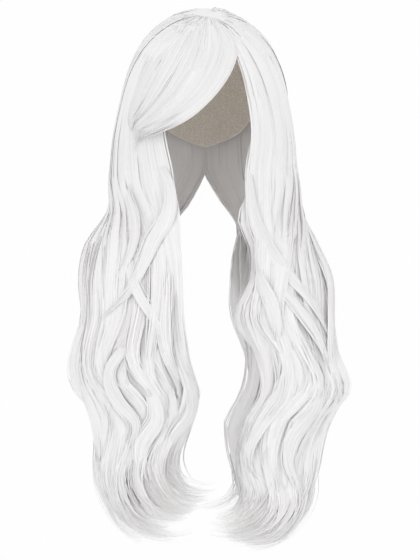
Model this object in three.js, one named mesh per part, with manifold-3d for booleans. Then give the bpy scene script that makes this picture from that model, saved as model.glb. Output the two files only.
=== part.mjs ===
import * as THREE from 'three';
import { LoftGeometry } from 'three/addons/geometries/LoftGeometry.js';
import { mergeVertices } from 'three/addons/utils/BufferGeometryUtils.js';
import Module from 'manifold-3d';

const wasm = await Module();
wasm.setup();
const { clamp, degToRad, lerp, smoothstep } = THREE.MathUtils;

// A long wavy wig with a side-swept fringe, in millimetres, +Z up, in the form that it has on a head.
// The origin is the underside of the cap's crown, where the top of the head sits.
// The face looks toward -Y. Left and right are as seen from the front, so left is -X.
// A drop is a length downward from the origin. A heading is an angle from the front toward +X.

// Head that the cap fits
const HEAD_HALF_WIDTH = 76;
const HEAD_HALF_LENGTH = 96;
const HEAD_UPPER_HEIGHT = 105;
const HEAD_LOWER_HEIGHT = 130;

// Cap
const CAP_WALL = 1.6;
const CAP_DEPTH = 165;

// Hair that lies over the cap
const HAIR_AT_CROWN = 16.4;
const HAIR_AT_BROW = 14.4;
const HAIR_AT_SIDE = 31.4;
const HAIR_AT_BACK = 24.4;
const HAIR_SAG = 12;
const CROWN_RIM_DROP = 100;
const CROWN_LOCK_RELIEF = 1.5;
const FRINGE_THICKNESS = 11;

// The fringe's root: how far it runs back under the crown hair, and how deep it lies there as a share
// of the fringe's thickness, against half of it where the fringe is free
const FRINGE_ROOT = 9;
const FRINGE_ROOT_DEPTH = 0.9;

// Falls of hair below the crown
const HAIR_LENGTH = 676;
const FALL_HALF_WIDTH = 184;
const FALL_FRONT = 150;
const SIDE_FALL_THICKNESS = 27;
const NAPE_FALL_THICKNESS = 22;
const TIP_WIDTH = 3;

// Waves: they start at one drop and are full at another. The lag is the angle by which a fall's
// outer edge waves behind its inner edge.
const WAVES_FROM = 200;
const WAVES_FULL = 330;
const WAVE_LENGTH = 165;
const WAVE_SWING = 13;
const WAVE_RELIEF = 5;
const WAVE_LAG = degToRad(206);

// Locks: how far a face dips between two of them, as a share of half their depth, and how much
// sooner some of them end
const DIP = 0.4;
const RAGGED = 0.1;

// Room between pieces that meet
const PIECE_GAP = 0.5;

// Facets
const CAP_SIDES = 28;
const CAP_BANDS = 16;
const CROWN_SIDES = 52;
const CROWN_SHARES = [0.08, 0.22, 0.38, 0.54, 0.7, 0.85, 1];
const HANG_STEPS = 13;
const CURL_STEPS = 5;
const FRINGE_LOCKS = 6;
const FRINGE_STEPS = 9;
const LOCK_SECTION = [[1, 0], [0.5, 1], [-0.5, 1], [-1, 0], [-0.5, -1], [0.5, -1]];


// Rows of numbers under named columns, read at any value of the first column
function chart(columns, rows) {
  const keys = rows.map((row) => row[0]);
  const values = rows.flatMap((row) => row.slice(1));
  const curve = new THREE.CubicInterpolant(keys, values, columns.length - 1);
  return (at) => {
    const read = curve.evaluate(at);
    return Object.fromEntries(columns.slice(1).map((name, i) => [name, read[i]]));
  };
}

// The cap's edge: heading in degrees, drop as a share of the cap's depth
const CAP_RIM = chart(['heading', 'drop'], [
  [0, 0.23],
  [30, 0.27],
  [55, 0.46],
  [75, 0.70],
  [87, 0.72],
  [100, 0.60],
  [115, 0.64],
  [135, 0.84],
  [180, 1],
]);

// The lower edge of the crown hair: heading in degrees, drop as a share of the crown's rim drop
const CROWN_RIM = new THREE.LinearInterpolant(
  [-180, -62, -48, 0, 24, 32, 180],
  [1, 1, 0.44, 0.40, 0.43, 1, 1],
  1,
);

// The fringe's breadth at its root and its end, as shares of the hair's half width over the cap
const FRINGE_BREADTH = { root: 0.9, end: 0.45 };

// The whorl: where it lies, as shares of the hair's half width and half length over the cap
const WHORL = { across: 0.03, ahead: 0.4 };

// The fringe's lower and upper edge: x as shares of the hair's half width over the cap,
// drops as shares of the drop of its widest level
const FRINGE_COLUMNS = ['edge', 'rootX', 'rootDrop', 'bendX', 'bendDrop', 'endX', 'endDrop'];
const FRINGE = chart(FRINGE_COLUMNS, [
  [0, 0.33, 0.38, 0.18, 1.06, -0.81, 1.38],
  [1, -0.63, 0.37, -0.84, 0.60, -0.99, 1.01],
]);

// Falls. way: share of the way from the crown's rim down to the tips. loose: 0 where x and y are shares
// of the hair's half width and half length over the cap, 1 where they are shares of the fall's half width
// and front. x and y give the outer face at the fall's first edge, its middle and its second edge.
// thick: share of the fall's thickness.
const FALL_COLUMNS = ['way', 'loose', 'firstX', 'firstY', 'middleX', 'middleY', 'lastX', 'lastY', 'thick'];

const SIDE_FALL_RIGHT = chart(FALL_COLUMNS, [
  [0.00, 0.0, 0.53, -0.75, 0.94, -0.36, 0.98, 0.36, 0.90],
  [0.09, 0.0, 0.58, -0.68, 1.04, -0.22, 1.04, 0.40, 1.00],
  [0.17, 0.0, 0.49, -0.68, 1.05, -0.22, 1.07, 0.39, 1.00],
  [0.26, 0.5, 0.38, -0.67, 0.79, -0.40, 0.88, 0.16, 1.00],
  [0.33, 1.0, 0.36, -0.67, 0.64, -0.60, 0.83, -0.12, 1.00],
  [0.40, 1.0, 0.34, -0.75, 0.64, -0.79, 0.92, -0.35, 1.00],
  [0.49, 1.0, 0.22, -0.79, 0.61, -0.90, 0.95, -0.53, 1.00],
  [0.57, 1.0, 0.30, -0.79, 0.64, -0.93, 0.95, -0.61, 1.00],
  [0.66, 1.0, 0.32, -0.77, 0.68, -0.93, 1.03, -0.63, 1.00],
  [0.73, 1.0, 0.21, -0.75, 0.57, -0.90, 0.86, -0.61, 0.95],
  [0.80, 1.0, 0.17, -0.72, 0.52, -0.87, 0.84, -0.60, 0.90],
  [0.87, 1.0, 0.27, -0.70, 0.57, -0.84, 0.87, -0.59, 0.85],
  [0.94, 1.0, 0.35, -0.69, 0.61, -0.83, 0.86, -0.57, 0.80],
]);

const SIDE_FALL_LEFT = chart(FALL_COLUMNS, [
  [0.00, 0.0, 0.59, -0.71, 0.94, -0.36, 0.98, 0.36, 0.90],
  [0.09, 0.0, 0.55, -0.70, 1.04, -0.22, 1.07, 0.40, 1.00],
  [0.17, 0.0, 0.42, -0.72, 1.05, -0.22, 1.09, 0.39, 1.00],
  [0.26, 0.5, 0.25, -0.72, 0.73, -0.44, 0.90, 0.14, 1.00],
  [0.33, 1.0, 0.18, -0.70, 0.59, -0.64, 0.87, -0.15, 1.00],
  [0.40, 1.0, 0.15, -0.76, 0.58, -0.80, 0.91, -0.36, 1.00],
  [0.49, 1.0, 0.12, -0.79, 0.55, -0.90, 0.90, -0.53, 1.00],
  [0.57, 1.0, 0.06, -0.78, 0.54, -0.93, 0.95, -0.60, 1.00],
  [0.66, 1.0, 0.03, -0.76, 0.49, -0.92, 0.92, -0.62, 1.00],
  [0.73, 1.0, 0.09, -0.75, 0.44, -0.90, 0.79, -0.61, 0.95],
  [0.80, 1.0, 0.20, -0.72, 0.50, -0.87, 0.81, -0.60, 0.90],
  [0.87, 1.0, 0.20, -0.70, 0.50, -0.84, 0.77, -0.59, 0.85],
  [0.94, 1.0, 0.20, -0.69, 0.50, -0.83, 0.75, -0.57, 0.80],
]);

const NAPE_FALL_RIGHT = chart(FALL_COLUMNS, [
  [0.00, 0.0, 0.01, 1.04, 0.67, 0.81, 0.99, 0.26, 0.90],
  [0.09, 0.0, 0.01, 1.02, 0.69, 0.80, 1.04, 0.30, 1.00],
  [0.16, 0.0, 0.02, 0.94, 0.70, 0.74, 1.07, 0.29, 1.00],
  [0.21, 0.0, 0.16, 0.80, 0.73, 0.67, 1.09, 0.23, 1.00],
  [0.28, 0.5, 0.28, 0.40, 0.61, 0.45, 0.92, 0.10, 1.00],
  [0.35, 1.0, 0.20, 0.03, 0.50, 0.20, 0.81, -0.06, 1.00],
  [0.42, 1.0, 0.20, -0.27, 0.51, -0.14, 0.84, -0.22, 1.00],
  [0.49, 1.0, 0.22, -0.42, 0.51, -0.42, 0.85, -0.33, 1.00],
  [0.57, 1.0, 0.30, -0.46, 0.55, -0.50, 0.86, -0.38, 1.00],
  [0.66, 1.0, 0.32, -0.46, 0.57, -0.52, 0.88, -0.41, 0.95],
  [0.73, 1.0, 0.23, -0.45, 0.50, -0.51, 0.79, -0.40, 0.90],
  [0.80, 1.0, 0.18, -0.44, 0.46, -0.51, 0.76, -0.39, 0.85],
  [0.87, 1.0, 0.28, -0.44, 0.50, -0.50, 0.78, -0.39, 0.80],
]);

const NAPE_FALL_LEFT = chart(FALL_COLUMNS, [
  [0.00, 0.0, 0.01, 1.04, 0.67, 0.81, 0.99, 0.26, 0.90],
  [0.09, 0.0, 0.01, 1.02, 0.69, 0.80, 1.06, 0.30, 1.00],
  [0.16, 0.0, 0.02, 0.94, 0.70, 0.74, 1.09, 0.29, 1.00],
  [0.21, 0.0, 0.16, 0.80, 0.73, 0.67, 1.10, 0.23, 1.00],
  [0.28, 0.5, 0.28, 0.40, 0.61, 0.45, 0.94, 0.10, 1.00],
  [0.35, 1.0, 0.23, 0.03, 0.50, 0.20, 0.84, -0.06, 1.00],
  [0.42, 1.0, 0.22, -0.27, 0.51, -0.14, 0.86, -0.22, 1.00],
  [0.49, 1.0, 0.19, -0.42, 0.48, -0.42, 0.83, -0.33, 1.00],
  [0.57, 1.0, 0.14, -0.46, 0.48, -0.50, 0.86, -0.38, 1.00],
  [0.66, 1.0, 0.10, -0.46, 0.45, -0.52, 0.84, -0.41, 0.95],
  [0.73, 1.0, 0.14, -0.45, 0.42, -0.51, 0.73, -0.40, 0.90],
  [0.80, 1.0, 0.24, -0.44, 0.47, -0.51, 0.72, -0.39, 0.85],
  [0.87, 1.0, 0.26, -0.44, 0.47, -0.50, 0.70, -0.39, 0.80],
]);

// The hooked ends at a fall's inner and outer edge. start: share of the way down. across: share of the
// fall's half width. down: share of the length from rim to tips. sweep: angle of the arc in degrees.
const CURL_COLUMNS = ['edge', 'start', 'across', 'down', 'sweep'];

const CURL_RIGHT = chart(CURL_COLUMNS, [
  [0, 0.90, 0.26, 0.06, 95],
  [1, 0.85, 0.49, 0.145, 100],
]);

const CURL_LEFT = chart(CURL_COLUMNS, [
  [0, 0.80, 0.23, 0.08, 112],
  [1, 0.85, 0.46, 0.145, 92],
]);
const FALLS = {
  side_fall_left: { side: -1, outward: 1, locks: 8, outline: SIDE_FALL_LEFT, curl: CURL_LEFT },
  side_fall_right: { side: 1, outward: 1, locks: 8, outline: SIDE_FALL_RIGHT, curl: CURL_RIGHT },
  nape_fall_left: { side: -1, outward: -1, locks: 5, outline: NAPE_FALL_LEFT, curl: CURL_LEFT },
  nape_fall_right: { side: 1, outward: -1, locks: 5, outline: NAPE_FALL_RIGHT, curl: CURL_RIGHT },
};

// Rounded forms of the head and of the hair over the cap
const headShape = (room) => ({
  halfWidth: HEAD_HALF_WIDTH + room,
  halfLength: HEAD_HALF_LENGTH + room,
  upper: HEAD_UPPER_HEIGHT + room,
  lower: HEAD_LOWER_HEIGHT + room,
  centreY: 0,
  centreDrop: HEAD_UPPER_HEIGHT,
});

const hairShape = (room) => ({
  halfWidth: HEAD_HALF_WIDTH + CAP_WALL + HAIR_AT_SIDE + room,
  halfLength: HEAD_HALF_LENGTH + CAP_WALL + (HAIR_AT_BROW + HAIR_AT_BACK) / 2 + room,
  upper: HEAD_UPPER_HEIGHT + HAIR_SAG + CAP_WALL + HAIR_AT_CROWN + room,
  lower: HEAD_LOWER_HEIGHT + HAIR_SAG + room,
  centreY: (HAIR_AT_BACK - HAIR_AT_BROW) / 2,
  centreDrop: HEAD_UPPER_HEIGHT + HAIR_SAG,
});

const HAIR = hairShape(0);

function onShape(shape, direction) {
  const height = direction.z > 0 ? shape.upper : shape.lower;
  return new THREE.Vector3(
    shape.halfWidth * direction.x,
    shape.centreY + shape.halfLength * direction.y,
    -shape.centreDrop + height * direction.z,
  );
}

function directionAt(shape, heading, drop) {
  const rise = shape.centreDrop - drop;
  const up = clamp(rise / (rise > 0 ? shape.upper : shape.lower), -1, 1);
  const out = Math.sqrt(1 - up * up);
  const turn = degToRad(heading);
  return new THREE.Vector3(out * Math.sin(turn), -out * Math.cos(turn), up);
}

// A direction part of the way from one to another along the great circle
function between(from, to, share) {
  const angle = from.angleTo(to);
  return from.clone().multiplyScalar(Math.sin((1 - share) * angle))
    .addScaledVector(to, Math.sin(share * angle))
    .divideScalar(Math.sin(angle));
}

const offset = (place, direction, length) => place.clone().addScaledVector(direction, length);

// Solids

// A closed solid of a geometry's triangles, turned to face outward
function solid(geometry) {
  const bare = new THREE.BufferGeometry();
  bare.setAttribute('position', geometry.attributes.position);
  bare.setIndex(geometry.index);
  const merged = mergeVertices(bare);
  const places = merged.attributes.position;
  const corner = (i) => new THREE.Vector3().fromBufferAttribute(places, i);
  let faces = [];
  let volume = 0;
  for (let i = 0; i < merged.index.count; i += 3) {
    const face = [0, 1, 2].map((k) => merged.index.getX(i + k));
    if (new Set(face).size === 3) {
      const [a, b, c] = face.map(corner);
      volume += a.dot(b.cross(c));
      faces.push(face);
    }
  }
  if (volume < 0) faces = faces.map(([a, b, c]) => [a, c, b]);
  return new wasm.Manifold(new wasm.Mesh({
    numProp: 3,
    vertProperties: Float32Array.from(places.array),
    triVerts: Uint32Array.from(faces.flat()),
  }));
}

const cutBy = (whole, others) => others.reduce((rest, other) => rest.subtract(other), whole);

// The main body that is left of a solid after its cuts
function mainBody(whole) {
  const bodies = whole.decompose();
  return bodies.reduce((best, body) => (body.volume() > best.volume() ? body : best));
}

function piece(name, body, color, roughness) {
  const { vertProperties, triVerts } = mainBody(body).getMesh();
  const geometry = new THREE.BufferGeometry();
  geometry.setAttribute('position', new THREE.Float32BufferAttribute(vertProperties, 3));
  geometry.setIndex(Array.from(triVerts));
  geometry.computeVertexNormals();
  const made = new THREE.Mesh(geometry, new THREE.MeshStandardMaterial({ color, roughness, metalness: 0 }));
  made.name = name;
  return made;
}

// The head's form as a closed solid
function headForm(room) {
  const geometry = new THREE.SphereGeometry(1, CAP_SIDES, CAP_BANDS).rotateX(Math.PI / 2);
  const shape = headShape(room);
  const places = geometry.attributes.position;
  for (let i = 0; i < places.count; i += 1) {
    const place = onShape(shape, new THREE.Vector3().fromBufferAttribute(places, i));
    places.setXYZ(i, place.x, place.y, place.z);
  }
  return solid(geometry);
}

const ringHeadings = (sides) => Array.from({ length: sides }, (_, i) => (360 * i) / sides - 180);

// Everything above a rim: a double cone from the head's centre, out past the rim and up to a peak
function aboveRim(shape, sides, dropAt) {
  const reach = 1.6;
  const centre = new THREE.Vector3(0, 0, -shape.centreDrop);
  const peak = new THREE.Vector3(0, 0, reach * shape.upper);
  const headings = ringHeadings(sides);
  const far = headings.map((heading) => {
    const rim = onShape(shape, directionAt(shape, heading, dropAt(heading)));
    return rim.sub(centre).multiplyScalar(reach).add(centre);
  });
  return solid(new LoftGeometry([headings.map(() => peak), far, headings.map(() => centre)]));
}

function wigCap() {
  const dropAt = (heading) => CAP_DEPTH * CAP_RIM(Math.abs(heading)).drop;
  return headForm(CAP_WALL)
    .subtract(headForm(0))
    .intersect(aboveRim(headShape(CAP_WALL), CAP_SIDES, dropAt));
}

// The crown hair: rings from the whorl to the rim, ribbed by its locks, less the capped head
function crownHair(room) {
  const shape = hairShape(room);
  const whorl = new THREE.Vector3(WHORL.across, -WHORL.ahead, 1 - WHORL.ahead ** 2 / 2).normalize();
  const centre = new THREE.Vector3(0, shape.centreY, -CROWN_RIM_DROP - room);
  const headings = ringHeadings(CROWN_SIDES);
  const rim = headings.map((heading) => (
    directionAt(shape, heading, CROWN_RIM_DROP * CROWN_RIM.evaluate(heading)[0] + room)
  ));
  const rings = CROWN_SHARES.map((share) => rim.map((end, i) => {
    const relief = share * CROWN_LOCK_RELIEF * (i % 2 ? -1 : 1);
    const place = onShape(shape, between(whorl, end, share));
    const flat = new THREE.Vector3(place.x, place.y - shape.centreY, 0).normalize();
    return place.addScaledVector(flat, relief);
  }));
  const tops = headings.map(() => onShape(shape, whorl));
  const centres = headings.map(() => centre);
  return solid(new LoftGeometry([tops, ...rings, centres]))
    .subtract(headForm(CAP_WALL + PIECE_GAP - room));
}

// How much of a lock is left, from 1 at its root to 0 at its tip
const taper = (share) => Math.sqrt(Math.max(0, 1 - share * share));

// One lock: a six-sided section carried along spots, each with its place, outward direction,
// half width and half depth
function lock(spots, room) {
  const sections = spots.map((spot, i) => {
    const before = spots[Math.max(i - 1, 0)].place;
    const after = spots[Math.min(i + 1, spots.length - 1)].place;
    const along = after.clone().sub(before).normalize();
    const out = offset(spot.out, along, -spot.out.dot(along)).normalize();
    const across = out.clone().cross(along);
    const end = offset(spot.place, along, i === spots.length - 1 ? room : 0);
    return LOCK_SECTION.map(([width, depth]) => (
      offset(offset(end, across, width * (spot.halfWidth + room)), out, depth * (spot.halfDepth + room))
    ));
  });
  return solid(new LoftGeometry(sections, { capStart: true, capEnd: true }));
}

// A sheet of fused locks. Its outer face rises over each lock and dips between two, its inner face
// is plain, and it runs from the first step to the last. spotAt gives the middle of its thickness.
function lockSheet(locks, steps, spotAt, room) {
  const last = 2 * locks;
  const rows = Array.from({ length: steps + 1 }, (_, step) => (
    Array.from({ length: last + 1 }, (__, j) => spotAt(j / last, step))
  ));
  // Longer by the room at both ends
  const reach = (row, next) => row.map((spot, j) => {
    const away = spot.place.clone().sub(next[j].place).normalize();
    return { ...spot, place: offset(spot.place, away, room) };
  });
  rows[0] = reach(rows[0], rows[1]);
  rows[steps] = reach(rows[steps], rows[steps - 1]);
  // Round one section: the first rim, the outer face, the last rim, and back along the inner face
  const ring = (row, outerPlace, innerPlace) => {
    const rims = [[0, 1], [last, last - 1]].map(([rim, next]) => {
      const away = row[rim].place.clone().sub(row[next].place).normalize();
      return offset(row[rim].place, away, room);
    });
    const outer = row.slice(1, last).map((_, j) => outerPlace(row, j + 1));
    const inner = row.filter((_, j) => j % 2).map(innerPlace).reverse();
    return [rims[0], ...outer, rims[1], ...inner];
  };
  const outward = (row, j) => offset(row[j].place, row[j].out, row[j].halfDepth * (j % 2 ? 1 : DIP) + room);
  const inward = (spot) => offset(spot.place, spot.out, -spot.halfDepth - room);
  const spineOf = (row) => ring(row, (spots, j) => spots[j - 1 + (j % 2)].place, (spot) => spot.place);
  const sections = rows.map((row) => ring(row, outward, inward));
  return solid(new LoftGeometry([spineOf(rows[0]), ...sections, spineOf(rows[steps])]));
}

// Locks fused in a sheet down to where they part, and from there each one to its own tip
function fusedLocks(locks, { fused, total }, spotAt, room) {
  const sheet = lockSheet(locks, fused, spotAt, room);
  return Array.from({ length: locks }, (_, i) => {
    const spots = [];
    for (let step = fused - 1; step <= total; step += 1) {
      const spot = spotAt((i + 0.5) / locks, step, 1 - RAGGED * (i % 3));
      const left = taper(Math.max(0, step - fused) / (total - fused));
      spots.push({
        ...spot,
        halfWidth: Math.max(TIP_WIDTH / 2, (left * spot.spread) / locks / 2),
        halfDepth: Math.max(TIP_WIDTH / 2, left * spot.halfDepth),
      });
    }
    return lock(spots, room);
  }).reduce((whole, tip) => whole.add(tip), sheet);
}

// The outer face of a fall at an edge share and a drop: a parabola through the outline's three places
function fallFace(fall, edge, drop) {
  const row = fall.outline((drop - CROWN_RIM_DROP) / (HAIR_LENGTH - CROWN_RIM_DROP));
  const width = lerp(HAIR.halfWidth, FALL_HALF_WIDTH, row.loose);
  const front = lerp(HAIR.halfLength, FALL_FRONT, row.loose);
  const weights = [(1 - edge) * (1 - 2 * edge), 4 * edge * (1 - edge), edge * (2 * edge - 1)];
  const slopes = [4 * edge - 3, 4 - 8 * edge, 4 * edge - 1];
  const mix = (shares, [first, middle, last]) => shares[0] * first + shares[1] * middle + shares[2] * last;
  const xs = [row.firstX, row.middleX, row.lastX].map((x) => fall.side * width * x);
  const ys = [row.firstY, row.middleY, row.lastY].map((y) => front * y);
  const slope = new THREE.Vector2(mix(slopes, xs), mix(slopes, ys));
  const spread = slope.length();
  const turn = (fall.side * fall.outward) / spread;
  return {
    place: new THREE.Vector3(mix(weights, xs), mix(weights, ys), -drop),
    out: new THREE.Vector3(turn * slope.y, -turn * slope.x, 0),
    spread,
    thick: row.thick,
  };
}

// A spot in a fall: it hangs in waves and ends in an arc toward the middle. reach shortens the arc.
function fallSpot(fall, thickness, edge, step, reach = 1) {
  const length = HAIR_LENGTH - CROWN_RIM_DROP;
  const turn = fall.curl(edge);
  const top = CROWN_RIM_DROP + PIECE_GAP;
  const drop = lerp(top, CROWN_RIM_DROP + turn.start * length, Math.min(1, step / HANG_STEPS));
  const wavy = smoothstep(drop, WAVES_FROM, WAVES_FULL);
  const phase = (2 * Math.PI * drop) / WAVE_LENGTH + WAVE_LAG * edge;
  const swing = wavy * WAVE_SWING * Math.sin(Math.PI * edge) * Math.sin(phase);
  const face = fallFace(fall, edge + swing / fallFace(fall, edge, drop).spread, drop);
  const halfDepth = (thickness * face.thick) / 2;
  const angle = degToRad(turn.sweep) * reach * Math.max(0, (step - HANG_STEPS) / CURL_STEPS);
  const relief = fall.outward * wavy * WAVE_RELIEF * Math.cos(phase);
  const place = offset(face.place, face.out, relief - halfDepth);
  place.x -= fall.side * turn.across * FALL_HALF_WIDTH * (1 - Math.cos(angle));
  place.z -= turn.down * length * Math.sin(angle);
  return { place, out: face.out, spread: face.spread, halfDepth };
}

function fallHair(name, thickness, room) {
  const fall = FALLS[name];
  const spotAt = (edge, step, reach) => fallSpot(fall, thickness, edge, step, reach);
  return fusedLocks(fall.locks, { fused: HANG_STEPS + 2, total: HANG_STEPS + CURL_STEPS }, spotAt, room);
}

// A spot in the fringe: on a curve over the hair's rounded form, from under the crown hair to the left
function fringeSpot(edge, step) {
  const row = FRINGE(edge);
  const spot = (x, drop) => new THREE.Vector2(x * HAIR.halfWidth, drop * HAIR.centreDrop);
  const curve = new THREE.QuadraticBezierCurve(
    spot(row.rootX, row.rootDrop),
    spot(row.bendX, row.bendDrop),
    spot(row.endX, row.endDrop),
  );
  const way = Math.max(0, step - 1) / (FRINGE_STEPS - 1);
  const point = curve.getPoint(way);
  if (step === 0) point.addScaledVector(curve.getTangent(0), -FRINGE_ROOT);
  const x = point.x / HAIR.halfWidth;
  const rise = HAIR.centreDrop - point.y;
  const z = rise / (rise > 0 ? HAIR.upper : HAIR.lower);
  const y = -Math.sqrt(Math.max(0, 1 - x * x - z * z));
  const out = new THREE.Vector3(x / HAIR.halfWidth, y / HAIR.halfLength, z / HAIR.upper).normalize();
  const depth = FRINGE_THICKNESS * (step === 0 ? FRINGE_ROOT_DEPTH : 0.5);
  return {
    place: offset(onShape(HAIR, new THREE.Vector3(x, y, z)), out, -depth),
    out,
    spread: HAIR.halfWidth * lerp(FRINGE_BREADTH.root, FRINGE_BREADTH.end, way),
    halfDepth: FRINGE_THICKNESS / 2,
  };
}

const fringeHair = (room) => (
  fusedLocks(FRINGE_LOCKS, { fused: FRINGE_STEPS - 1, total: FRINGE_STEPS }, fringeSpot, room)
);

// Assembly
const HAIR_WHITE = 0xeceae8;
const HAIR_ROUGHNESS = 0.5;
const NET_CREAM = 0xe4ddd2;
const NET_ROUGHNESS = 0.9;

const headRoom = headForm(CAP_WALL + PIECE_GAP);
const crownRoom = crownHair(PIECE_GAP);
const fringeRoom = fringeHair(PIECE_GAP);

const hair = {
  crown_hair: crownHair(0),
  fringe: cutBy(fringeHair(0), [headRoom, crownRoom]),
};
const napeRooms = [];
for (const hand of ['left', 'right']) {
  const side = `side_fall_${hand}`;
  const nape = `nape_fall_${hand}`;
  const sideRoom = fallHair(side, SIDE_FALL_THICKNESS, PIECE_GAP);
  hair[side] = cutBy(fallHair(side, SIDE_FALL_THICKNESS, 0), [headRoom, fringeRoom]);
  hair[nape] = cutBy(fallHair(nape, NAPE_FALL_THICKNESS, 0), [headRoom, sideRoom, ...napeRooms]);
  napeRooms.push(fallHair(nape, NAPE_FALL_THICKNESS, PIECE_GAP));
}

const wig = new THREE.Group();
wig.add(piece('wig_cap', wigCap(), NET_CREAM, NET_ROUGHNESS));
for (const [name, body] of Object.entries(hair)) wig.add(piece(name, body, HAIR_WHITE, HAIR_ROUGHNESS));

export default wig;
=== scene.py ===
import math

import bmesh
import bpy
import numpy as np
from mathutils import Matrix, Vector


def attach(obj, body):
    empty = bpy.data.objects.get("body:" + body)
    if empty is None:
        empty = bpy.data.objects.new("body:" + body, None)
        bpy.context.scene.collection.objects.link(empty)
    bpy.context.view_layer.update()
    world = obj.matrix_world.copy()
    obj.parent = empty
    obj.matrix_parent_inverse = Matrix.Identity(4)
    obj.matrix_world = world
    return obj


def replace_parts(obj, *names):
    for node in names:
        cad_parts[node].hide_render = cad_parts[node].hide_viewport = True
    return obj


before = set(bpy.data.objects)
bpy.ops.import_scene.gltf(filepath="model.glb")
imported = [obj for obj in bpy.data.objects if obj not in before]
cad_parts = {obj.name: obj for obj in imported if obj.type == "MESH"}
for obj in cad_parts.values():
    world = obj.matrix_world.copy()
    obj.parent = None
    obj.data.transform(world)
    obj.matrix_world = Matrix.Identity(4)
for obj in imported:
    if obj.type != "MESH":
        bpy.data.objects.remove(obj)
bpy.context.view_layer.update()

# A long wavy white wig. Hair is laid out in millimetres in the part's own frame: +Z up, the wig's front
# toward -Y, and a drop is a length downward from the origin. Meshes are in metres.
# Left and right are as seen from the front, so left is -X.
MM = 0.001
rng = np.random.default_rng(28)

# The photograph's frame in pixels, its scale, and the pixel of the wig's origin
FRAME_WIDTH = 420
FRAME_HEIGHT = 560
MM_PER_PIXEL = 1.28
ORIGIN_COLUMN = 205
ORIGIN_ROW = 18.5

# Camera and studio, in metres
CAMERA_DISTANCE = 10
CAMERA_SENSOR = 36
FLOOR_LEVEL = -1
FLOOR_RADIUS = 8

# Name, place, size in metres, power in watts. Each one looks at the middle of the wig.
SOFT_BOXES = [
    ("key_box", (-0.9, -2.8, 0.9), 1.6, 10),
    ("fill_box", (1.4, -2.8, -0.2), 1.6, 5.5),
]

# How bright the white studio is where it lights the wig, against 1 where the camera sees it, and how often
# light passes on from fibre to fibre
STUDIO_LIGHT = 0.98
DIFFUSE_BOUNCES = 12

# Rounded form of the hair over the head
HALF_WIDTH = 109
HALF_LENGTH = 117
UPPER_HEIGHT = 135
CENTRE_Y = 5
CENTRE_DROP = 117
RIM_DROP = 100

# Falls of hair below the head
TIP_DROP = 676
FALL_HALF_WIDTH = 184
FALL_FRONT = 150

# Waves: where they start and are full, how far they carry a lock across and out, and how much a lock
# rolls round its own length as it bends
WAVES_FROM = 190
WAVES_FULL = 320
WAVE_SWING = 17
WAVE_RELIEF = 5
WAVE_ROLL = 0.4

# How far in from its second edge a waved fall's outermost lock lies, as a share of its breadth, and the
# length over which it draws in
OUTER_INSET = 0.07
TUCK_LENGTH = 130

# How high and how wide locks are over the head, where they lie smooth, against the same in the waves, and
# the drops between which one passes into the other
SMOOTH_RISE = 0.16
SMOOTH_WIDTH = 1.45
SMOOTH_TO = 150
WAVED_FROM = 330

# Stations along a strand: over the head, down the fall, round the hooked end
DOME_STEPS = 11
HANG_STEPS = 34
CURL_STEPS = 10

# Strands are drawn as coarse as they need to show. Half widths and half heights, and how far the
# surface of a strand or a lock turns aside at its edges, against the slope of its height over its width.
STRAND_WIDTH = 0.95
STRAND_RISE = 0.35
ROUNDNESS = 1.1

# The share of strands that stray from their lock
STRAY_SHARE = 0.05

# A strand's ridge and its two lower edges, and the number of a lock's sides
STRAND_SECTION = np.array([(0, 1), (-1, -0.6), (1, -0.6)])
LOCK_SIDES = 8


# Small helpers

def unit(vectors):
    return vectors / np.maximum(np.linalg.norm(vectors, axis=-1, keepdims=True), 1e-9)


def smoothstep(at, low, high):
    share = np.clip((at - low) / (high - low), 0, 1)
    return share * share * (3 - 2 * share)


def mix(first, second, share):
    return first + (second - first) * share


def chart(rows):
    """Rows of numbers, read along a smooth curve at any value of their first column."""
    table = np.array(rows, dtype=float)
    keys, values = table[:, 0], table[:, 1:]
    slopes = np.gradient(values, keys, axis=0)

    def read(at):
        at = np.clip(at, keys[0], keys[-1])
        i = np.clip(np.searchsorted(keys, at, side="right") - 1, 0, len(keys) - 2)
        step = (keys[i + 1] - keys[i])[..., None]
        s = (at - keys[i])[..., None] / step
        rise = values[i + 1] - values[i]
        first, last = slopes[i] * step, slopes[i + 1] * step
        square = 3 * rise - 2 * first - last
        cube = first + last - 2 * rise
        return np.moveaxis(values[i] + first * s + square * s**2 + cube * s**3, -1, 0)

    return read


# Falls. way: share of the way from the rim down to the tips. loose: 0 where x and y are shares of the
# half width and half length over the head, 1 where they are shares of the fall's half width and front.
# x and y give the face at the fall's first edge, its middle and its second edge.
# Columns: way, loose, firstX, firstY, middleX, middleY, lastX, lastY.

SIDE_FALL_RIGHT = chart([
    (0.00, 0.0, 0.53, -0.75, 0.94, -0.36, 0.98, 0.36),
    (0.09, 0.0, 0.58, -0.68, 1.04, -0.22, 1.04, 0.40),
    (0.17, 0.0, 0.49, -0.68, 1.05, -0.22, 1.07, 0.39),
    (0.26, 0.5, 0.38, -0.67, 0.79, -0.40, 0.85, 0.16),
    (0.33, 1.0, 0.36, -0.67, 0.64, -0.60, 0.79, -0.12),
    (0.40, 1.0, 0.34, -0.75, 0.64, -0.79, 0.92, -0.35),
    (0.49, 1.0, 0.22, -0.79, 0.61, -0.90, 0.95, -0.53),
    (0.57, 1.0, 0.30, -0.79, 0.64, -0.93, 0.95, -0.61),
    (0.66, 1.0, 0.32, -0.77, 0.68, -0.93, 1.00, -0.63),
    (0.73, 1.0, 0.21, -0.75, 0.57, -0.90, 0.83, -0.61),
    (0.80, 1.0, 0.17, -0.72, 0.52, -0.87, 0.84, -0.60),
    (0.87, 1.0, 0.27, -0.70, 0.57, -0.84, 0.87, -0.59),
    (0.94, 1.0, 0.35, -0.69, 0.61, -0.83, 0.86, -0.57),
])

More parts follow.
